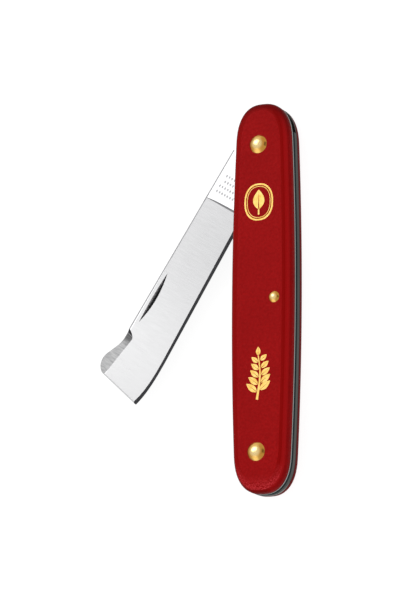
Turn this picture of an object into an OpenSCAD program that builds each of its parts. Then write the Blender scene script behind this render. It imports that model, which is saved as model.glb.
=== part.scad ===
// Folding grafting knife with a bark lifter, drawn with its blade half open.
// X points to the back spring, Y to the pivot end of the handle, Z up through the marked face.
// The origin is the middle of the rear scale's flat outer face. Millimetres and degrees.

/* [Handle] */
// Length of the handle, which is the closed length of the knife
handle_l = 100; // [90:1:115]
// Greatest width of the handle
handle_w = 16.5; // [14:0.1:20]
// Radius of the long, slightly bulged sides
side_r = 926; // [400:1:2000]
// Length over which each end rounds off
end_l = 9.8; // [7:0.1:14]
// Fullness of the rounded ends, where 2 is an ellipse
end_n = 2.5; // [2:0.1:3.5]
// Distance from the pivot to the upper end of the handle
pivot_end = 11; // [9:0.1:14]
// Sideways place of the pivot and tail rivets, toward the spring
rivet_x = -0.6; // [-2:0.1:1]

/* [Scales] */
// Thickness of each plastic scale
scale_t = 3.5; // [3.2:0.1:5]
// Inset of the flat outer face from the outline
edge_in = 2.8; // [0.8:0.1:3]
// Depth of the rounded edge
edge_deep = 3; // [1:0.1:3.2]
// Fullness of the rounded edge, where 2 is an ellipse
edge_n = 2.5; // [2:0.1:3]

/* [Liners and spring] */
// Thickness of each liner
liner_t = 0.4; // [0.3:0.1:1]
// Thickness of the spring, which sets the slot between the liners
slot_t = 2.3; // [1.8:0.1:3]
// Distance from the pivot line to the inner edge of the spring
spring_in = 5; // [4.5:0.1:6]
// Height of the spring's free end above the pivot
spring_top = 3.6; // [3:0.1:5]
// Height of the solid tail of the spring, from the lower end of the handle
tail_l = 13.6; // [11:0.1:16]
// Radius of the inside corner where the spring's arm meets its tail
tail_r = 3; // [1:0.1:5]
// Radius of the lug round the middle rivet
lug_r = 2.1; // [1.6:0.1:2.4]

/* [Rivets] */
// Diameter of the pivot and tail rivets
rivet_d = 3; // [2:0.1:4]
// Diameter of their domed heads
head_d = 4.75; // [4:0.05:6]
// Height of their domed heads
head_h = 1.1; // [0.6:0.1:1.5]
// Diameter of the middle rivet
pin_d = 1.6; // [1.2:0.1:2]
// Diameter of its domed heads
pin_head_d = 2.9; // [2.2:0.1:4]
// Height of its domed heads
pin_head_h = 0.7; // [0.4:0.1:1]
// Sideways place of the middle rivet, toward the spring
pin_x = 3.95; // [3.5:0.05:4.5]
// Distance of the middle rivet below the pivot
pin_drop = 39.8; // [35:0.1:45]
// Distance of the tail rivet below the pivot
tail_drop = 78.7; // [76:0.1:82]
// Space between the rear heads and the wall of their counterbores
counterbore_gap = 0.3; // [0.1:0.05:0.6]
// Clearance round a rivet in the fixed parts
fixed_gap = 0.02; // [0.01:0.01:0.05]

/* [Blade] */
// Angle between the blade and the handle, 0 is parallel to the handle
rest_angle = 32; // [4:1:180]
// Thickness of the tang and of the blade's back
blade_t = 2.2; // [1.8:0.1:2.8]
// Clearance round the pivot rivet in the tang
pivot_gap = 0.04; // [0.01:0.01:0.1]
// Blade angle when the knife is closed
closed_angle = 4; // [2:0.5:6]
// Distance of the back from the pivot line at the tang
back_q = 7.3; // [6.5:0.1:7.5]
// Outward slope of the back
back_slope = 0.0145; // [0:0.0005:0.03]
// Distance from the pivot to the notch that takes the end of the spring
notch_l = 3.7; // [3.6:0.05:4]
// Distance from the pivot to the kick that rests on the spring
kick_l = 12.5; // [10:0.5:14]
// Distance from the pivot to the heel of the cutting edge
heel_l = 15.5; // [14.5:0.5:17]
// Distance of the cutting edge from the pivot line at the heel
edge_q = 4.35; // [3.5:0.05:5]
// Distance from the pivot to where the cutting edge starts to curve
belly_l = 60; // [55:0.5:65]
// Distance of the cutting edge from the pivot line at that place
belly_q = 5.2; // [4.5:0.05:5.5]
// Distance from the pivot to the tip
tip_l = 72.9; // [65:0.1:80]
// Distance from the pivot to the shoulder of the grind
shoulder_l = 18.25; // [17:0.05:22]
// Radius of the hollow at that shoulder
shoulder_r = 0.6; // [0.3:0.1:1.5]
// Half thickness left at the cutting edge by the main grind
grind_t = 0.27; // [0.2:0.01:0.5]
// Half thickness of the cutting edge itself
edge_t = 0.03; // [0.01:0.01:0.05]
// Width of the small bevel along the cutting edge
bevel_w = 0.55; // [0.4:0.05:1]
// Width of the small bevel along the back and the end
back_bevel_w = 0.35; // [0.1:0.05:0.6]
// Depth of that bevel
back_bevel_d = 0.12; // [0.05:0.01:0.3]

/* [Bark lifter] */
// Distance from the pivot to the centre of the lifter's round end
lifter_l = 67.1; // [60:0.1:75]
// Distance of that centre from the pivot line
lifter_q = 7.4; // [7:0.1:8]
// Radius of the lifter
lifter_r = 3.45; // [2.5:0.05:4]
// Distance from the pivot to where the lifter leaves the back
ramp_l = 59.4; // [55:0.1:61]
// Radius of the hollow where it leaves the back
ramp_r = 6.4; // [4:0.1:8]
// Distance from the pivot to the upper end of the lifter's ground face
face_l = 59.3; // [58:0.1:62]
// Distance from the pivot line to the inner side of that face at its upper end
face_q = 5.8; // [5:0.1:6.5]
// Turn of that face's inner side away from the blade's length
face_turn = 12.5; // [5:0.5:20]
// Slope of that face toward the rim
face_tilt = 13; // [8:1:20]
// Radius of the hollow at the upper end of that face
face_r = 2.6; // [1:0.1:4]

/* [Nail nick] */
// Distance from the pivot to the middle of the nail nick
nick_l = 47.1; // [40:0.1:52]
// Distance of the nail nick from the pivot line
nick_q = 6.4; // [6:0.05:6.6]
// Length of the nail nick
nick_w = 14.4; // [10:0.1:18]
// Depth of the nail nick
nick_d = 0.55; // [0.3:0.05:0.7]
// Lean of the nail nick's cut away from the back
nick_lean = 17; // [0:1:45]

/* [Hidden] */
$fn = 96;
steps = 72;
edge_steps = 10;
eps = 0.01;
lifter_a = 63;
lifter_b = 173;
mid_z = scale_t + liner_t + slot_t / 2;
total_t = 2 * mid_z;
front_z = total_t - scale_t;
pivot_y = handle_l / 2 - pivot_end;
pin_y = pivot_y - pin_drop;
tail_y = pivot_y - tail_drop;
tang_r = spring_in - 0.05;
grind_q = 7.4;
grind_angle = atan((blade_t / 2 - grind_t) / (belly_q + grind_q));
bevel_angle = atan((grind_t - edge_t) / bevel_w);
nick_cut = nick_d / cos(nick_lean);
nick_r = (nick_w * nick_w / 4 + nick_cut * nick_cut) / (2 * nick_cut);
big = 40;

// Half width of the handle at distance v along it from the middle
function half_w(v) = (handle_w / 2 - v * v / (2 * side_r))
    * pow(1 - pow(max(0, (abs(v) - handle_l / 2 + end_l) / end_l), end_n), 1 / end_n);

function outline_v(i) = -handle_l / 2 * cos(180 * i / steps);

// Closed outline of the handle, counterclockwise from its lower end, drawn in by the amount given
function outline(inset = 0) = [
    for (i = [0 : 2 * steps - 1])
        let (
            side = i <= steps ? 1 : -1,
            v = outline_v(i <= steps ? i : 2 * steps - i),
            h = half_w(v) * (1 - 2 * inset / handle_w)
        )
        [side * h, v * (1 - 2 * inset / handle_l)]
];

// Height of the cutting edge's line at distance l from the pivot
function edge_at(l) = l < belly_l
    ? edge_q + (belly_q - edge_q) * (l - heel_l) / (belly_l - heel_l)
    : belly_q - 0.0006 * pow(l - belly_l, 3);

function back_at(l) = -back_q - back_slope * (l - notch_l);

// Height of the main grind above the middle of the blade at distance q from the pivot line, toward the back
function grind_at(q) = blade_t / 2 - (grind_q - q) * tan(grind_angle);

// Point of the lifter's round end at angle a round it
function lifter_at(a) = [-lifter_q - lifter_r * sin(a), lifter_l - lifter_r * cos(a)];

// Blade outline as [distance from the pivot line, distance along the blade], from the notch round by the tip
function blade_points() = concat(
    [[-tang_r, notch_l], [back_at(notch_l) + 0.5, notch_l], [back_at(notch_l + 0.5), notch_l + 0.5]],
    [for (k = [0 : 6])
        let (d = k / 6 * ramp_r * (1 / tan(lifter_a) - back_slope))
        [back_at(ramp_l + d) - d * d / (2 * ramp_r), ramp_l + d]],
    [for (k = [0 : 14]) lifter_at(lifter_a + k * (lifter_b - lifter_a) / 14)],
    [for (l = [tip_l : -1.27 : belly_l - eps]) [edge_at(l), l]],
    [[edge_at(heel_l), heel_l], [edge_q - 0.4, heel_l - 0.4], [edge_q - 0.4, kick_l + 1]],
    [[(tang_r + kick_l * sin(closed_angle)) / cos(closed_angle), kick_l]],
    [[tang_r * cos(closed_angle), -tang_r * sin(closed_angle)]],
    [[0, 0]]
);

module dome(d, h) {
    r = (d * d / 4 + h * h) / (2 * h);
    intersection() {
        translate([0, 0, h - r]) sphere(r = r);
        cylinder(h = h, d = d);
    }
}

module at_rivets(gap) {
    for (y = [pivot_y, tail_y]) translate([rivet_x, y]) circle(d = rivet_d + 2 * gap);
    translate([pin_x, pin_y]) circle(d = pin_d + 2 * gap);
}

// One scale with its inner face at z = 0 and its rounded outer face upward
module scale_body() {
    n = 2 * steps;
    levels = concat([[0, 0]], [
        for (k = [0 : edge_steps])
            let (a = 90 * k / edge_steps)
            [edge_in * (1 - pow(cos(a), 2 / edge_n)), scale_t - edge_deep * (1 - pow(sin(a), 2 / edge_n))]
    ]);
    last = len(levels) - 1;
    difference() {
        polyhedron(
            points = [for (s = levels) for (p = outline(s[0])) [p[0], p[1], s[1]]],
            faces = concat(
                [[for (i = [0 : n - 1]) i]],
                [[for (i = [0 : n - 1]) last * n + n - 1 - i]],
                [for (k = [0 : last - 1]) for (i = [0 : n - 1])
                    [k * n + i, (k + 1) * n + i, (k + 1) * n + (i + 1) % n]],
                [for (k = [0 : last - 1]) for (i = [0 : n - 1])
                    [k * n + i, (k + 1) * n + (i + 1) % n, k * n + (i + 1) % n]]
            )
        );
        translate([0, 0, -1]) linear_extrude(scale_t + 2) at_rivets(fixed_gap);
    }
}

module front_scale() {
    color([0.60, 0.09, 0.11]) translate([0, 0, front_z]) scale_body();
}

module rear_scale() {
    color([0.60, 0.09, 0.11]) difference() {
        translate([0, 0, scale_t]) mirror([0, 0, 1]) scale_body();
        for (y = [pivot_y, tail_y])
            translate([rivet_x, y, -1]) cylinder(h = 1.1 + head_h, d = head_d + 2 * counterbore_gap);
        translate([pin_x, pin_y, -1])
            cylinder(h = 1.1 + pin_head_h, d = pin_head_d + 2 * counterbore_gap);
    }
}

module liner() {
    linear_extrude(liner_t) difference() {
        polygon(outline());
        at_rivets(fixed_gap);
    }
}

module front_liner() {
    color([0.75, 0.76, 0.76]) translate([0, 0, front_z - liner_t]) liner();
}

module rear_liner() {
    color([0.75, 0.76, 0.76]) translate([0, 0, scale_t]) liner();
}

module back_spring() {
    inner_x = rivet_x + spring_in;
    tail_top = tail_l - handle_l / 2;
    color([0.45, 0.47, 0.48]) translate([0, 0, scale_t + liner_t]) linear_extrude(slot_t) difference() {
        intersection() {
            polygon(outline());
            union() {
                translate([inner_x, pivot_y + spring_top - handle_l]) square([handle_w, handle_l]);
                translate([-handle_w, tail_top - big]) square([2 * handle_w, big]);
                translate([inner_x - tail_r, tail_top - eps]) difference() {
                    square([tail_r + eps, tail_r]);
                    translate([0, tail_r]) circle(r = tail_r);
                }
                translate([pin_x, pin_y]) circle(r = lug_r);
            }
        }
        at_rivets(fixed_gap);
    }
}

// Turns flat shapes at z = 0 onto the main grind
module on_grind() {
    translate([-grind_q, 0, blade_t / 2]) rotate([0, grind_angle, 0]) translate([grind_q, 0, 0]) children();
}

// Removes the main grind from one face, with a hollow shoulder
module grind_cutter() {
    on_grind() translate([-grind_q, 0, 0]) {
        translate([0, -shoulder_l - 2 * big, 0]) cube([big, 2 * big, 5]);
        translate([0, -shoulder_l, shoulder_r]) rotate([0, 90, 0]) cylinder(h = big, r = shoulder_r);
        translate([0, -shoulder_l - eps, shoulder_r]) cube([big, shoulder_r, 5]);
    }
}

// Removes the small bevel on one face between two places along the edge
module bevel_cutter(a, b) {
    slope = atan((edge_at(b) - edge_at(a)) / (b - a));
    translate([edge_at(a), -a, edge_t]) rotate([0, 0, slope]) rotate([0, bevel_angle, 0])
        translate([-3, -(b - a) * 1.05, 0]) cube([6, (b - a) * 1.1, 3]);
}

// Removes a small flat bevel from a face at z = 0, along a straight run between two points of the outline
module back_bevel_cutter(a, b) {
    run = b - a;
    translate([a[0], -a[1], 0]) rotate([0, 0, atan2(-run[1], run[0])])
        translate([0, back_bevel_w, 0]) rotate([atan(back_bevel_d / back_bevel_w), 0, 0])
            translate([0, -2, 0]) cube([norm(run), 2, 1]);
}

// Removes the lifter's ground face, with a hollow at its upper end
module face_cutter() {
    translate([-face_q, -face_l, grind_at(face_q)]) rotate([0, 0, -face_turn]) rotate([0, -face_tilt, 0]) {
        translate([-10, -16, 0]) cube([12, 16, 4]);
        translate([-10, 0, face_r]) rotate([0, 90, 0]) cylinder(h = 12, r = face_r);
    }
}

// Removes the nail nick, a leaning cut that runs along the back, steeper on the side toward it
module nick_cutter() {
    translate([-nick_q, -nick_l, grind_at(nick_q)])
        rotate([0, 0, -atan(back_slope)]) rotate([0, -nick_lean, 0])
            translate([0, 0, nick_r - nick_cut]) {
                rotate([0, 90, 0]) cylinder(h = 1.4, r1 = nick_r, r2 = nick_r - 0.36);
                rotate([0, -90, 0]) cylinder(h = 0.4, r1 = nick_r, r2 = nick_r - 1.16);
            }
}

module blade() {
    color([0.88, 0.88, 0.88]) translate([rivet_x, pivot_y, mid_z]) rotate([0, 0, -rest_angle]) difference() {
        translate([0, 0, -blade_t / 2]) linear_extrude(blade_t) difference() {
            union() {
                polygon([for (p = blade_points()) [p[0], -p[1]]]);
                circle(r = tang_r);
            }
            circle(d = rivet_d + 2 * pivot_gap);
        }
        for (m = [0, 1]) mirror([0, 0, m]) {
            grind_cutter();
            bevel_cutter(heel_l - 1, belly_l);
            for (i = [0 : 5])
                bevel_cutter(belly_l + i * (tip_l - belly_l) / 6, belly_l + (i + 1) * (tip_l - belly_l) / 6);
            translate([0, 0, blade_t / 2])
                back_bevel_cutter([back_at(notch_l + 0.5), notch_l + 0.5], [back_at(ramp_l), ramp_l]);
            on_grind() back_bevel_cutter(lifter_at(lifter_b), [edge_at(tip_l), tip_l]);
        }
        face_cutter();
        nick_cutter();
    }
}

// Solid rivet with its front head formed and its rear end rounded to the shape of the burr
module rivet() {
    r = (head_d * head_d / 4 + head_h * head_h) / (2 * head_h);
    color([0.85, 0.65, 0.30]) {
        translate([0, 0, total_t]) dome(head_d, head_h);
        intersection() {
            translate([0, 0, 0.1]) cylinder(h = total_t - 0.1 + eps, d = rivet_d);
            translate([0, 0, 0.1 + r]) union() {
                sphere(r = r);
                cylinder(h = total_t, d = rivet_d + 1);
            }
        }
    }
}

// Domed ring over which the rear end of a rivet is closed
module burr() {
    color([0.85, 0.65, 0.30]) difference() {
        translate([0, 0, 0.1 + head_h]) mirror([0, 0, 1]) dome(head_d, head_h);
        translate([0, 0, -1]) cylinder(h = 4, d = rivet_d + 2 * fixed_gap);
    }
}

module pivot_rivet() {
    translate([rivet_x, pivot_y, 0]) rivet();
}

module pivot_burr() {
    translate([rivet_x, pivot_y, 0]) burr();
}

module tail_rivet() {
    translate([rivet_x, tail_y, 0]) rivet();
}

module tail_burr() {
    translate([rivet_x, tail_y, 0]) burr();
}

module spring_rivet() {
    color([0.85, 0.65, 0.30]) translate([pin_x, pin_y, 0]) {
        translate([0, 0, total_t]) dome(pin_head_d, pin_head_h);
        translate([0, 0, 0.1 + pin_head_h - eps])
            cylinder(h = total_t - 0.1 - pin_head_h + 2 * eps, d = pin_d);
        translate([0, 0, 0.1 + pin_head_h]) mirror([0, 0, 1]) dome(pin_head_d, pin_head_h);
    }
}

rear_scale();
rear_liner();
back_spring();
blade();
front_liner();
front_scale();
pivot_rivet();
pivot_burr();
tail_rivet();
tail_burr();
spring_rivet();
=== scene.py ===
import math
import bmesh
import bpy
from mathutils import Matrix, Vector

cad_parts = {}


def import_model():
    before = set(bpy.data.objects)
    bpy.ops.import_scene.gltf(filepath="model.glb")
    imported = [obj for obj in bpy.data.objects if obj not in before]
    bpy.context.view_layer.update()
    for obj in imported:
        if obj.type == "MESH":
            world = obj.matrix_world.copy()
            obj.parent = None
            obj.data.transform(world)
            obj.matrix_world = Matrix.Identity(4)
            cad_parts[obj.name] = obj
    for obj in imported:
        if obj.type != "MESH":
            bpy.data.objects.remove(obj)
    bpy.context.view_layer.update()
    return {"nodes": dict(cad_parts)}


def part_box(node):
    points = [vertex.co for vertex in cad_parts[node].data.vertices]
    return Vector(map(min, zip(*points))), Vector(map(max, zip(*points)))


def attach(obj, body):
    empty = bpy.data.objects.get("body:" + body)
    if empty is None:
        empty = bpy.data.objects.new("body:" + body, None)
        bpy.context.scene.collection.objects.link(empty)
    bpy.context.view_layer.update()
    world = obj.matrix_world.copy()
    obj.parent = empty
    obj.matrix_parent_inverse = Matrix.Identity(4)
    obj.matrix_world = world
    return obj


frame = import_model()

MM = 0.001

# places taken from the frame
pivot_lo, pivot_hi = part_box("pivot_rivet")
tail_lo, tail_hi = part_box("tail_rivet")
scale_lo, scale_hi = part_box("front_scale")
blade_lo, blade_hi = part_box("blade")
TAIL_Y = (tail_lo.y + tail_hi.y) / 2
PIVOT = Vector(((pivot_lo.x + pivot_hi.x) / 2, (pivot_lo.y + pivot_hi.y) / 2,
                (blade_lo.z + blade_hi.z) / 2))
FACE_Z = scale_hi.z
SEAM = scale_lo.z - PIVOT.z             # from the middle of the handle to where a scale meets its liner
SPRING_MID = sum(v.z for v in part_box("back_spring")) / 2
REST = math.radians(32)                 # angle between the blade and the handle at rest
ACROSS = Vector((math.cos(REST), -math.sin(REST)))      # toward the cutting edge, across the blade at rest
ALONG = Vector((-math.sin(REST), -math.cos(REST)))      # from the pivot to the tip

# ground faces of the blade, each told by the height of its normal
GRIND = 0.9985, 0.9990
LIFTER_FACE = 0.968, 0.980
HOLLOW = 0.30, 0.970
BEVEL = 0.900, 0.930
BACK_BEVEL = 0.940, 0.952
NICK_WALLS = 0.45, 0.955
SHOULDER_STEP = 0.96, 0.995
SIDES = 0.4, 0.5

# and by where it lies, from the pivot along the blade and across it toward the edge
HOLLOW_ALONG = 56.5 * MM, 60.5 * MM
NICK_ALONG = 39.5 * MM, 55 * MM
NICK_ACROSS = -6.9 * MM, -5.2 * MM
SHOULDER_ALONG = 17 * MM, 19.5 * MM
BACK_ACROSS = -5.0 * MM
EDGE_ACROSS = 2.0 * MM
SHARP = 0.1 * MM                        # how softly a place ends
GROUND_LIGHTER_ALONG = 24 * MM, 66 * MM         # where the ground face turns lighter
SHADE_ALONG = 59.2 * MM, 61.8 * MM      # where the lifter's face leaves its dark start
RIM_ALONG = 62 * MM, 66 * MM            # where the back's bevel turns bright

# flat marks on the front face and on the tang
EMBLEM_AT = Vector((PIVOT.x + 0.3 * MM, PIVOT.y - 15.1 * MM))
EMBLEM_RINGS = (3.9, 4.8, 0.42), (3.2, 4.1, 0.16)       # half width, half height and line, in millimetres
OVAL = 2.3                              # superellipse power of the rings
SPRIG_AT = Vector((PIVOT.x + 0.45 * MM, PIVOT.y - 59.2 * MM))
FOIL_TOP = FACE_Z + 0.03 * MM
FOIL_T = 0.04 * MM
MIDRIB = 0.07 * MM                      # half width of the bare line in a leaf of the sprig
SPRIG_STEPS = 24
SPRIG_NODES = 4, 8, 12, 16, 20          # steps of the stem that carry a pair of leaves
ETCHED_TOP = blade_hi.z + 0.012 * MM
ETCHED_T = 0.02 * MM
LOZENGE = 0.5, 0.3                      # half length and half width of one, in millimetres
LOZENGE_STEP = 0.85
# how far along each row lies, how far across it starts, and its count
LOZENGE_ROWS = (10.9, -5.2, 4), (12.4, -4.8, 4), (13.9, -5.6, 6), (15.4, -5.6, 7)

# studio
FLOOR_HALF = 4
FLOOR_DROP = 0.1 * MM
KEY = Vector((-0.50, 0.38, 0.78)).normalized()
KEY_DISTANCE, KEY_SIZE, KEY_POWER = 1.1, 0.7, 0.35
ROOM, ROOM_BELOW = 0.74, 0.40
HORIZON = -0.25, 0.15                   # heights between which the room goes from one to the other
SOFT_BOXES = (
    ((0.86, -0.04, 0.50), 2, 17, -0.5),     # dark, for the spring's side
    ((0.84, 0.30, 0.46), 2, 17, -0.5),      # dark, for the spring's upper end
    ((-0.35, -0.80, 0.45), 8, 34, 0.35),    # for the tail
    ((-0.41, 0.42, 0.80), 6, 27, 1.7),      # for the blade and the crowns of the rivets
)
VIEW_YAW, VIEW_PITCH, VIEW_ROLL = (math.radians(a) for a in (22.56, 12.15, 0.36))
VIEW_DISTANCE = 800 * MM
VIEW_HEIGHT = 151.3 * MM
VIEW_OFFSET = 16.72 * MM, 0.50 * MM


# ---------------------------------------------------------------- node helpers

class Nodes:
    """Builds the nodes of a material or a world."""

    def __init__(self, owner):
        owner.use_nodes = True
        self.owner = owner
        self.tree = owner.node_tree

    def add(self, kind, **values):
        node = self.tree.nodes.new("ShaderNode" + kind)
        for key, value in values.items():
            setattr(node, key, value)
        return node

    def link(self, a, b):
        self.tree.links.new(a, b)

    def put(self, socket, value):
        """Links an output to the socket, or sets the socket to a number or a colour."""
        if isinstance(value, bpy.types.NodeSocket):
            self.link(value, socket)
        elif isinstance(value, (int, float)):
            socket.default_value = value
        elif len(socket.default_value) == 4:
            socket.default_value = (*value, 1)
        else:
            socket.default_value = value

    def math(self, op, a, b=0.0, c=None):
        node = self.add("Math", operation=op)
        self.put(node.inputs[0], a)
        self.put(node.inputs[1], b)
        if c is not None:
            self.put(node.inputs[2], c)
        return node.outputs[0]

    def times(self, a, b):
        return self.math("MULTIPLY", a, b)

    def coords(self, kind="Object"):
        return self.add("TexCoord").outputs[kind]

    def turned(self, vector, location=(0, 0, 0), angle=0.0, scale=(1, 1, 1)):
        """The vector seen from the location, turned about Z, then stretched."""
        shift = self.add("Mapping", vector_type="POINT")
        shift.inputs["Location"].default_value = [-v for v in location]
        self.link(vector, shift.inputs["Vector"])
        turn = self.add("Mapping", vector_type="POINT")
        turn.inputs["Rotation"].default_value = (0, 0, angle)
        turn.inputs["Scale"].default_value = (1, 1, 1)
        self.link(shift.outputs[0], turn.inputs["Vector"])
        stretch = self.add("Mapping", vector_type="POINT")
        stretch.inputs["Scale"].default_value = scale
        self.link(turn.outputs[0], stretch.inputs["Vector"])
        return stretch.outputs[0]

    def xyz(self, vector):
        node = self.add("SeparateXYZ")
        self.link(vector, node.inputs[0])
        return node.outputs

    def noise(self, vector, scale, detail=2.0, roughness=0.5):
        node = self.add("TexNoise")
        self.link(vector, node.inputs["Vector"])
        node.inputs["Scale"].default_value = scale
        node.inputs["Detail"].default_value = detail
        node.inputs["Roughness"].default_value = roughness
        return node.outputs["Fac"]

    def span(self, value, low, high, out_low=0.0, out_high=1.0, smooth=False):
        """The value's way from low to high, clamped, as a way from out_low to out_high."""
        node = self.add("MapRange", interpolation_type="SMOOTHSTEP" if smooth else "LINEAR")
        self.put(node.inputs["Value"], value)
        node.inputs["From Min"].default_value = low
        node.inputs["From Max"].default_value = high
        node.inputs["To Min"].default_value = out_low
        node.inputs["To Max"].default_value = out_high
        return node.outputs["Result"]

    def mix(self, factor, a, b):
        node = self.add("Mix", data_type="RGBA")
        self.put(node.inputs[0], factor)
        self.put(node.inputs[6], a)
        self.put(node.inputs[7], b)
        return node.outputs[2]

    def layers(self, colour, masked):
        """The colour with each tone laid over it where its mask is 1."""
        for mask, tone in masked:
            colour = self.mix(mask, colour, tone)
        return colour

    def bump(self, height, distance, strength=1.0, normal=None):
        node = self.add("Bump")
        node.inputs["Strength"].default_value = strength
        node.inputs["Distance"].default_value = distance
        self.link(height, node.inputs["Height"])
        if normal is not None:
            self.link(normal, node.inputs["Normal"])
        return node.outputs["Normal"]

    def finish(self, **sockets):
        """Sets the shader's sockets, each by its name, and returns the material."""
        shader = self.tree.nodes["Principled BSDF"]
        for key, value in sockets.items():
            self.put(shader.inputs[key.replace("_", " ")], value)
        return self.owner


def new_material(name):
    return Nodes(bpy.data.materials.new(name))


def add_to_scene(obj):
    bpy.context.scene.collection.objects.link(obj)


# ---------------------------------------------------------------- materials

def nylon():
    """Dyed nylon with a fine grain, darker where it meets a liner, with painted shade where it starts to
    round off, on its sides away from the right, at its top end and on the rear scale's edge, and painted
    light on a ridge of its right side and among the scuffs near the tail.
    """
    light, deep = (0.370, 0.0034, 0.0042), (0.335, 0.0025, 0.0033)
    pits = (0.25, 0.0016, 0.0022)
    # painted shade: the darker tone where the flat face starts to round off
    polished = (0.265, 0.0010, 0.0007)
    # painted shade: the darker tone on the steep sides that do not face right
    side = (0.20, 0.0008, 0.0006)
    # painted highlight: the lighter tone on a ridge of the right side's rounding
    crest_highlight = (0.40, 0.0062, 0.0072)
    shade = (0.14, 0.0005, 0.0005)
    # scuffs near the tail, lightened as a painted highlight
    scuff_and_highlight = (0.60, 0.034, 0.042)
    # painted shade: the darker tone along the rear scale's edge next to its liner
    rear_shade_red = (0.14, 0.001, 0.001)
    seam_red = (0.08, 0.001, 0.001)

    n = new_material("red nylon")
    at = n.coords()
    fine = n.noise(at, 3600, 2, 0.6)
    grain = n.noise(at, 1500, 3, 0.6)
    cloud = n.noise(at, 90, 2, 0.5)
    _, along, height = n.xyz(at)
    sideways, upward, up = n.xyz(n.coords("Normal"))
    facing = n.math("ABSOLUTE", up)

    depth = n.math("ABSOLUTE", n.math("SUBTRACT", height, PIVOT.z))
    seam = n.span(depth, SEAM + 0.34 * MM, SEAM + 0.10 * MM, smooth=True)
    behind = n.span(height, PIVOT.z, PIVOT.z - 0.1 * MM)
    # painted shade along the rear scale's edge next to its liner
    rear = n.times(n.span(depth, SEAM + 2.2 * MM, SEAM + 0.6 * MM, smooth=True), behind)
    either = n.math("MAXIMUM", n.span(facing, 0.80, 0.95, smooth=True), n.span(sideways, -0.05, -0.3))
    # painted shade where the flat face starts to round off
    rounding = n.times(n.span(facing, 0.999, 0.985, smooth=True), either)
    # painted shade on the steep sides that do not face right
    shaded_flank = n.times(n.span(facing, 0.85, 0.45, smooth=True), n.span(sideways, 0.45, 0.1, smooth=True))
    # painted highlight on a ridge of the right side's rounding
    lit_ridge = n.times(between(n, facing, 0.58, 0.80, 0.14), n.span(sideways, 0.2, 0.6))
    upper = n.times(n.span(facing, 0.9995, 0.97, smooth=True), n.span(upward, 0.03, 0.45))
    # scuffs and a painted highlight on the rounding and the face near the tail
    tail_edge = n.times(between(n, facing, 0.72, 0.975, 0.02),
                        n.span(along, TAIL_Y - 3.0 * MM, TAIL_Y - 7.5 * MM))
    tail_face = n.times(n.span(facing, 0.72, 0.76),
                        n.span(along, TAIL_Y - 5.5 * MM, TAIL_Y - 10.0 * MM, 0.0, 0.8, smooth=True))
    scuffed_and_lit = n.times(n.math("MAXIMUM", tail_edge, tail_face), n.span(fine, 0.40, 0.62))

    colour = n.layers(n.mix(n.span(cloud, 0.35, 0.65), deep, light), (
        (n.span(grain, 0.35, 0.7, 0.0, 0.7), pits), (n.times(rounding, 0.9), polished), (shaded_flank, side),
        (lit_ridge, crest_highlight), (n.times(upper, 0.85), shade), (scuffed_and_lit, scuff_and_highlight), (n.times(rear, 0.75), rear_shade_red),
        (seam, seam_red),
    ))
    relief = n.math("ADD", n.times(grain, 0.6), n.times(fine, 0.4))
    return n.finish(
        Base_Color=colour,
        Roughness=n.span(grain, 0.3, 0.7, 0.30, 0.44),
        Specular_IOR_Level=0.04,
        Normal=n.bump(relief, 0.00006, 0.7),
    )


def between(n, value, low, high, soft):
    """1 where value lies between low and high, with soft edges."""
    return n.times(n.span(value, low - soft, low), n.span(value, high + soft, high))


def brushed(n, vector, stretch, scale, detail=3):
    """Fine parallel lines, short along the axis with the large stretch."""
    return n.noise(n.turned(vector, scale=stretch), scale, detail, 0.6)


def liner_steel():
    """Sheet steel whose cut edge is bright at the front and near the tail, with painted shade on the rear
    liner away from the tail.
    """
    bright = (0.70, 0.71, 0.68), (0.88, 0.89, 0.85)
    # painted shade: the dark tones of the rear liner away from the tail
    dull_shade = (0.08, 0.075, 0.07), (0.14, 0.13, 0.12)
    n = new_material("liner steel")
    at = n.coords()
    _, along, height = n.xyz(at)
    lines = brushed(n, at, (1, 0.06, 1), 500)
    cloud = n.noise(at, 120, 2, 0.5)
    mixed = n.math("MULTIPLY_ADD", lines, 0.5, n.times(cloud, 0.5))
    # painted shade on the rear liner, but not near the tail
    rear = n.times(n.span(height, PIVOT.z + 0.1 * MM, PIVOT.z - 0.1 * MM),
                   n.span(along, TAIL_Y - 9.5 * MM, TAIL_Y - 7 * MM))
    return n.finish(
        Base_Color=n.mix(rear, *(n.mix(n.span(mixed, 0.35, 0.65), *tones) for tones in (bright, dull_shade))),
        Metallic=1.0,
        Roughness=n.span(lines, 0.3, 0.7, 0.22, 0.34),
        Normal=n.bump(lines, 0.00002, 0.3),
    )


def spring_steel():
    """Hardened steel with a painted reflection: dark on its front half and lighter toward the rear liner.
    """
    # painted reflection: dark for the front half, light toward the rear liner
    dark, light = (0.070, 0.088, 0.092), (0.33, 0.33, 0.31)
    scratch = (0.03, 0.034, 0.038)
    bare = (0.20, 0.20, 0.19)
    n = new_material("spring steel")
    at = n.coords()
    height = n.xyz(at)[2]
    lines = brushed(n, at, (1, 0.05, 1), 600)
    cloud = n.noise(at, 150, 2, 0.5)
    reflection_toward_rear = n.span(height, SPRING_MID + 0.3 * MM, SPRING_MID - 0.3 * MM, smooth=True)
    return n.finish(
        Base_Color=n.layers(n.mix(reflection_toward_rear, dark, light), (
            (n.span(lines, 0.35, 0.7, 0.0, 0.35), scratch), (n.span(cloud, 0.5, 0.75, 0.0, 0.2), bare),
        )),
        Metallic=1.0,
        Specular_Tint=(0.40, 0.45, 0.46),
        Roughness=n.span(lines, 0.3, 0.7, 0.20, 0.32),
        Normal=n.bump(lines, 0.00002, 0.35),
    )


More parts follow.
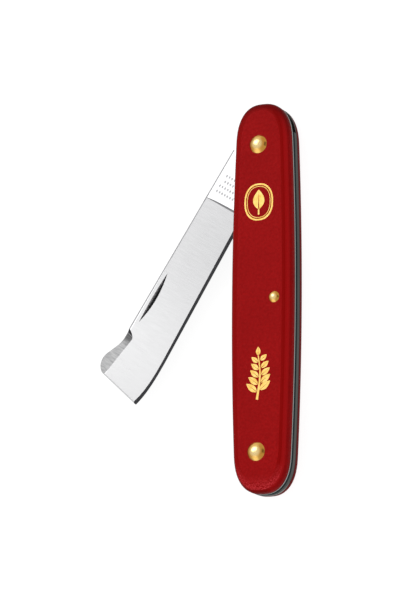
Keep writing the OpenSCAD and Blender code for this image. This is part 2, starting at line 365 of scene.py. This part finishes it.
def brass():
    """Hammered brass, with a painted dark reflection browning the flanks of each head and a painted
    highlight paling its crown.
    """
    plain = (0.90, 0.50, 0.105), (0.99, 0.64, 0.19)
    # painted shade: a dark reflection browning the left and right flanks of each head
    shaded_brown = (0.58, 0.26, 0.038)
    # painted highlight: the paler tone on the crown of each head
    pale = (1.0, 0.76, 0.36)
    n = new_material("polished brass")
    at = n.coords()
    marks = n.noise(at, 1400, 3, 0.6)
    dents = n.noise(at, 650, 1, 0.4)
    cloud = n.noise(at, 420, 2, 0.5)
    sideways, _, up = n.xyz(n.coords("Normal"))
    # painted shade: a dark reflection on the flanks of each head
    shaded_flank = n.span(n.math("ABSOLUTE", sideways), 0.08, 0.48, smooth=True)
    # painted highlight on the crown of each head
    crown_highlight = n.span(n.math("ABSOLUTE", up), 0.84, 0.99, smooth=True)
    return n.finish(
        Base_Color=n.layers(n.mix(n.span(cloud, 0.35, 0.65), *plain), (
            (n.times(shaded_flank, 0.85), shaded_brown), (crown_highlight, pale),
        )),
        Metallic=1.0,
        Roughness=n.span(marks, 0.3, 0.7, 0.12, 0.24),
        Normal=n.bump(marks, 0.00002, 0.4, n.bump(dents, 0.00015, 0.8)),
    )


def foil():
    """Gold foil pressed into the plastic, worn thinner in places."""
    gold = (0.82, 0.50, 0.10), (0.92, 0.64, 0.19)
    n = new_material("gold foil")
    at = n.coords()
    marks = n.noise(at, 2200, 3, 0.6)
    worn = n.noise(at, 700, 2, 0.5)
    return n.finish(
        Base_Color=n.mix(n.span(worn, 0.35, 0.65), *gold),
        Metallic=0.6,
        Roughness=n.span(marks, 0.3, 0.7, 0.34, 0.5),
        Normal=n.bump(marks, 0.00002, 0.4),
    )


def blade_steel():
    """One steel for the whole blade, with the finish that each ground face has, painted shade in the
    hollow, the nail nick, the shoulder step and the lifter's start, and a painted dark reflection on the
    edge bevel.
    """
    black = (0, 0, 0)
    tang_grey = (0.50, 0.50, 0.505), (0.54, 0.54, 0.545)
    grind_grey = (0.435, 0.435, 0.44), (0.57, 0.57, 0.575)
    lifter_grey = (0.23, 0.23, 0.235), (0.46, 0.46, 0.46)
    # painted shade: the dark tone in the hollow at the lifter's start
    hollow_shade = (0.05, 0.05, 0.052)
    # painted reflection: the dark tone on the cutting edge's bevel
    bevel_dark_reflection = (0.060, 0.060, 0.065)
    rim_grey = (0.42, 0.42, 0.43), (0.80, 0.80, 0.81)
    # painted shade: the dark tone on the nail nick's wall that faces the spine
    nick_shade = (0.016, 0.016, 0.018)
    nick_grey = (0.16, 0.16, 0.165), (0.52, 0.52, 0.53)
    # painted shade: the darker tone on the shoulder step
    shoulder_shade = (0.28, 0.28, 0.29)
    side_grey = (0.55, 0.56, 0.57)

    n = new_material("blade steel")
    local = n.turned(n.coords(), location=PIVOT, angle=REST)
    across, backward, _ = n.xyz(local)
    length = n.times(backward, -1.0)
    lean, _, up = n.xyz(n.turned(n.coords("Normal"), angle=REST))
    facing = n.math("ABSOLUTE", up)
    lines = brushed(n, local, (1, 14, 1), 260, 4)
    strokes = brushed(n, local, (1, 9, 1), 420, 4)
    cloud = n.noise(local, 60, 2, 0.5)

    toward_back = n.span(across, BACK_ACROSS, BACK_ACROSS - SHARP)
    toward_edge = n.span(across, EDGE_ACROSS, EDGE_ACROSS + SHARP)
    ground = n.span(facing, GRIND[1], GRIND[0])
    lifter = n.times(between(n, facing, *LIFTER_FACE, 0.004), toward_back)
    hollow = n.times(between(n, facing, *HOLLOW, 0.003),
                     n.times(between(n, length, *HOLLOW_ALONG, SHARP), toward_back))
    bevel = n.times(between(n, facing, *BEVEL, 0.006), toward_edge)
    back_bevel = between(n, facing, *BACK_BEVEL, 0.004)
    nick = n.times(between(n, facing, *NICK_WALLS, 0.01),
                   n.times(between(n, length, *NICK_ALONG, SHARP), between(n, across, *NICK_ACROSS, SHARP)))
    shoulder = n.times(n.span(facing, SHOULDER_STEP[1], SHOULDER_STEP[0]),
                       between(n, length, *SHOULDER_ALONG, SHARP))
    side = n.span(facing, SIDES[1], SIDES[0])

    tang = n.mix(n.span(cloud, 0.35, 0.65), *tang_grey)
    # the ground face turns lighter toward the tip
    ground_tone = n.mix(n.span(length, *GROUND_LIGHTER_ALONG, smooth=True), *grind_grey)
    body = n.mix(n.span(lines, 0.3, 0.7, 0.0, 0.5), ground_tone, n.mix(0.972, black, ground_tone))
    face = n.mix(n.span(strokes, 0.3, 0.7), *lifter_grey)
    # painted shade on the lifter's face near its start
    face = n.mix(n.span(length, *SHADE_ALONG, smooth=True), n.mix(0.35, black, face), face)
    # painted shade in the hollow, darkest on its steeper parts
    shaded_end = n.mix(n.span(facing, 0.91, 0.972), hollow_shade, face)
    rim = n.mix(n.span(length, *RIM_ALONG), *rim_grey)
    nick_wall = n.mix(n.span(strokes, 0.35, 0.65), *nick_grey)
    # painted shade in the nail nick, darkest on the wall that faces the spine
    nick_shading = n.mix(n.span(lean, -0.2, 0.4, smooth=True), nick_shade, nick_wall)
    return n.finish(
        Base_Color=n.layers(n.mix(ground, tang, body), (
            (lifter, face), (hollow, shaded_end), (bevel, bevel_dark_reflection), (back_bevel, rim),
            (nick, nick_shading), (shoulder, shoulder_shade), (side, side_grey),
        )),
        Metallic=1.0,
        Roughness=n.mix(lifter, n.span(lines, 0.3, 0.7, 0.18, 0.28), (0.38, 0.38, 0.38)),
        Normal=n.bump(lines, 0.00001, 0.15),
    )


def etched_steel():
    """Steel roughened and darkened by etching."""
    grey = (0.36, 0.36, 0.37), (0.50, 0.50, 0.51)
    n = new_material("etched steel")
    speckle = n.noise(n.coords(), 4200, 3, 0.7)
    return n.finish(
        Base_Color=n.mix(n.span(speckle, 0.35, 0.65), *grey),
        Metallic=1.0,
        Roughness=n.span(speckle, 0.3, 0.7, 0.40, 0.60),
        Normal=n.bump(speckle, 0.00001, 0.5),
    )


RED = nylon()
LINER = liner_steel()
SPRING = spring_steel()
BRASS = brass()
FOIL = foil()
BLADE = blade_steel()
ETCHED = etched_steel()


def dress(node, material):
    """Gives a CAD node's mesh the material in each of its slots."""
    mesh = frame["nodes"][node].data
    if not mesh.materials:
        mesh.materials.append(material)
    for i in range(len(mesh.materials)):
        mesh.materials[i] = material


for node, material in (
    ("front_scale", RED), ("rear_scale", RED), ("front_liner", LINER), ("rear_liner", LINER),
    ("back_spring", SPRING), ("blade", BLADE), ("pivot_rivet", BRASS), ("tail_rivet", BRASS),
    ("spring_rivet", BRASS), ("pivot_burr", BRASS), ("tail_burr", BRASS),
):
    dress(node, material)


# ---------------------------------------------------------------- marks on the front face and on the tang

def new_object(name, bm, material, body="handle"):
    """Makes an object of the mesh and lets it ride on the body."""
    mesh = bpy.data.meshes.new(name)
    bm.to_mesh(mesh)
    bm.free()
    mesh.materials.append(material)
    obj = bpy.data.objects.new(name, mesh)
    add_to_scene(obj)
    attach(obj, body)
    return obj


def ribbon(bm, points, widths, z):
    """A flat strip along points, with its half width at each."""
    left, right = [], []
    for i, p in enumerate(points):
        a = points[max(i - 1, 0)]
        b = points[min(i + 1, len(points) - 1)]
        d = (b - a).normalized()
        side = Vector((-d.y, d.x)) * widths[i]
        left.append(bm.verts.new((*(p + side), z)))
        right.append(bm.verts.new((*(p - side), z)))
    for i in range(len(points) - 1):
        bm.faces.new((left[i], right[i], right[i + 1], left[i + 1]))


def ring(bm, centre, rx, ry, width, z, power, count=72):
    """A flat ring round a superellipse, of the given width inward."""
    inner, outer = [], []
    for i in range(count):
        a = 2 * math.pi * i / count
        c, s = math.cos(a), math.sin(a)
        u = math.copysign(abs(c) ** (2 / power), c)
        v = math.copysign(abs(s) ** (2 / power), s)
        outer.append(bm.verts.new((centre.x + u * rx, centre.y + v * ry, z)))
        inner.append(bm.verts.new((centre.x + u * (rx - width), centre.y + v * (ry - width), z)))
    for i in range(count):
        j = (i + 1) % count
        bm.faces.new((outer[i], outer[j], inner[j], inner[i]))


def leaf(bm, base, tip, width, z, split, count=14):
    """A pointed leaf from base to tip, as two halves with a bare midrib of half width split."""
    along = tip - base
    side = Vector((-along.y, along.x)).normalized()
    for sign in (1, -1):
        rib, rim = [], []
        for i in range(count + 1):
            t = i / count
            w = width * math.sin(math.pi * t ** 0.85) ** 0.9
            gap = min(split * (1 - t), w)
            rib.append(bm.verts.new((*(base + along * t + side * sign * gap), z)))
            rim.append(bm.verts.new((*(base + along * t + side * sign * max(w, gap)), z)))
        for i in range(count):
            quad = (rib[i], rib[i + 1], rim[i + 1], rim[i])
            bm.faces.new(quad if sign < 0 else quad[::-1])


def thicken(bm, depth):
    """Closes the flat marks into solids that reach the given depth below their face."""
    bmesh.ops.remove_doubles(bm, verts=bm.verts, dist=1e-7)
    bmesh.ops.dissolve_degenerate(bm, dist=1e-8, edges=bm.edges)
    bmesh.ops.recalc_face_normals(bm, faces=bm.faces)
    for face in bm.faces:
        if face.normal.z < 0:
            face.normal_flip()
    made = bmesh.ops.extrude_face_region(bm, geom=list(bm.faces))
    verts = [g for g in made["geom"] if isinstance(g, bmesh.types.BMVert)]
    bmesh.ops.translate(bm, vec=(0, 0, -depth), verts=verts)
    bmesh.ops.recalc_face_normals(bm, faces=bm.faces)


def emblem():
    """Two oval rings round an upright leaf on its stem."""
    bm = bmesh.new()
    for half_x, half_y, line in EMBLEM_RINGS:
        ring(bm, EMBLEM_AT, half_x * MM, half_y * MM, line * MM, FOIL_TOP, OVAL)
    base, tip = EMBLEM_AT - Vector((0, 1.9 * MM)), EMBLEM_AT + Vector((0, 3.2 * MM))
    leaf(bm, base, tip, 1.55 * MM, FOIL_TOP, 0.16 * MM)
    stem = [EMBLEM_AT + Vector((0, (-3.3 + 0.35 * i) * MM)) for i in range(5)]
    ribbon(bm, stem, [0.2 * MM] * len(stem), FOIL_TOP)
    thicken(bm, FOIL_T)
    return new_object("leaf_emblem", bm, FOIL)


def sprig():
    """A slightly bent stem with pairs of leaves, smaller toward the tip."""
    bm = bmesh.new()
    spine, widths = [], []
    for i in range(SPRIG_STEPS + 1):
        t = i / SPRIG_STEPS
        bend, height = 0.5 * math.sin(t * math.pi * 1.2 - 0.6), -6.5 + 11.2 * t
        spine.append(SPRIG_AT + Vector((bend * MM, height * MM)))
        widths.append((0.30 - 0.16 * t) * MM)
    ribbon(bm, spine, widths, FOIL_TOP)
    for k, i in enumerate(SPRIG_NODES):
        reach = (3.7 - 0.32 * k) * MM
        for sign in (1, -1):
            base = spine[i + (1 if sign > 0 else 0)]
            tip = base + Vector((sign * reach * 0.86, reach * 0.62))
            base = base + Vector((sign * 0.35 * MM, 0.1 * MM))
            leaf(bm, base, tip, (0.82 - 0.05 * k) * MM, FOIL_TOP, MIDRIB)
    leaf(bm, spine[-1], spine[-1] + Vector((0, 2.2 * MM)), 0.62 * MM, FOIL_TOP, MIDRIB)
    thicken(bm, FOIL_T)
    return new_object("leaf_sprig", bm, FOIL)


def tang_etching():
    """Rows of small lozenges etched on the tang."""
    bm = bmesh.new()
    half_l, half_w = LOZENGE
    for along, start, count in LOZENGE_ROWS:
        for i in range(count):
            centre = PIVOT.xy + (ALONG * along + ACROSS * (start + LOZENGE_STEP * i)) * MM
            corners = [centre + (ALONG * a + ACROSS * b) * MM
                       for a, b in ((half_l, 0), (0, half_w), (-half_l, 0), (0, -half_w))]
            bm.faces.new([bm.verts.new((*p, ETCHED_TOP)) for p in corners])
    thicken(bm, ETCHED_T)
    return new_object("tang_etching", bm, ETCHED, "blade")


emblem()
sprig()
tang_etching()


# ---------------------------------------------------------------- floor, light, camera

def floor():
    """A pale sheet under the knife, unseen in reflections."""
    bm = bmesh.new()
    bmesh.ops.create_grid(bm, x_segments=8, y_segments=8, size=FLOOR_HALF)
    mesh = bpy.data.meshes.new("floor")
    bm.to_mesh(mesh)
    bm.free()
    obj = bpy.data.objects.new("floor", mesh)
    obj.location.z = -FLOOR_DROP
    obj.visible_diffuse = False
    obj.visible_glossy = False
    add_to_scene(obj)
    n = new_material("pale floor")
    mesh.materials.append(n.finish(
        Base_Color=n.mix(n.noise(n.coords(), 40, 2), (0.20, 0.20, 0.20), (0.22, 0.22, 0.22)),
        Roughness=0.9,
        Specular_IOR_Level=0.0,
        Emission_Color=(1, 1, 1),
        Emission_Strength=0.90,
    ))


def key_light(toward, distance, size, power):
    """A soft round lamp in the given direction, facing the knife."""
    data = bpy.data.lights.new("key", "AREA")
    data.shape = "DISK"
    data.size = size
    data.energy = power
    obj = bpy.data.objects.new("key", data)
    obj.location = toward * distance
    obj.rotation_euler = toward.to_track_quat("Z", "Y").to_euler()
    add_to_scene(obj)


def world(base, below, boxes):
    """A dim room with soft light boxes, each a direction, an inner and an outer angle, and what it adds."""
    made = bpy.data.worlds.new("studio")
    bpy.context.scene.world = made
    n = Nodes(made)
    where = n.coords("Generated")
    total = n.span(n.xyz(where)[2], *HORIZON, below, base, smooth=True)
    for direction, inner, outer, strength in boxes:
        dot = n.add("VectorMath", operation="DOT_PRODUCT")
        n.link(where, dot.inputs[0])
        dot.inputs[1].default_value = Vector(direction).normalized()
        rim, core = (math.cos(math.radians(angle)) for angle in (outer, inner))
        total = n.math("ADD", total, n.span(dot.outputs["Value"], rim, core, 0, strength, smooth=True))
    back = n.tree.nodes["Background"]
    n.link(total, back.inputs["Color"])
    back.inputs["Strength"].default_value = 1.0


def camera(yaw, pitch, roll, distance, view_height, offset):
    """Looks at the handle with view_height in view and the handle's middle offset to the right and up."""
    toward = Vector((math.sin(yaw) * math.cos(pitch), -math.sin(pitch), math.cos(yaw) * math.cos(pitch)))
    middle = Vector((0, 0, PIVOT.z))
    place = middle + toward * distance
    right = Vector((math.cos(yaw), 0, -math.sin(yaw)))
    up = toward.cross(right)
    right, up = (right * math.cos(roll) + up * math.sin(roll),
                 up * math.cos(roll) - right * math.sin(roll))
    target = middle - right * offset[0] - up * offset[1]
    data = bpy.data.cameras.new("camera")
    data.sensor_width = 36
    data.lens = data.sensor_width * distance / view_height
    data.clip_start, data.clip_end = 0.05, 20
    obj = bpy.data.objects.new("camera", data)
    forward = (target - place).normalized()
    side = forward.cross(up).normalized()
    up = side.cross(forward)
    obj.matrix_world = Matrix((
        (side.x, up.x, -forward.x, place.x),
        (side.y, up.y, -forward.y, place.y),
        (side.z, up.z, -forward.z, place.z),
        (0, 0, 0, 1),
    ))
    add_to_scene(obj)
    bpy.context.scene.camera = obj


floor()
world(ROOM, ROOM_BELOW, SOFT_BOXES)
key_light(KEY, KEY_DISTANCE, KEY_SIZE, KEY_POWER)
camera(VIEW_YAW, VIEW_PITCH, VIEW_ROLL, VIEW_DISTANCE, VIEW_HEIGHT, VIEW_OFFSET)
bpy.context.scene.view_settings.view_transform = "Standard"
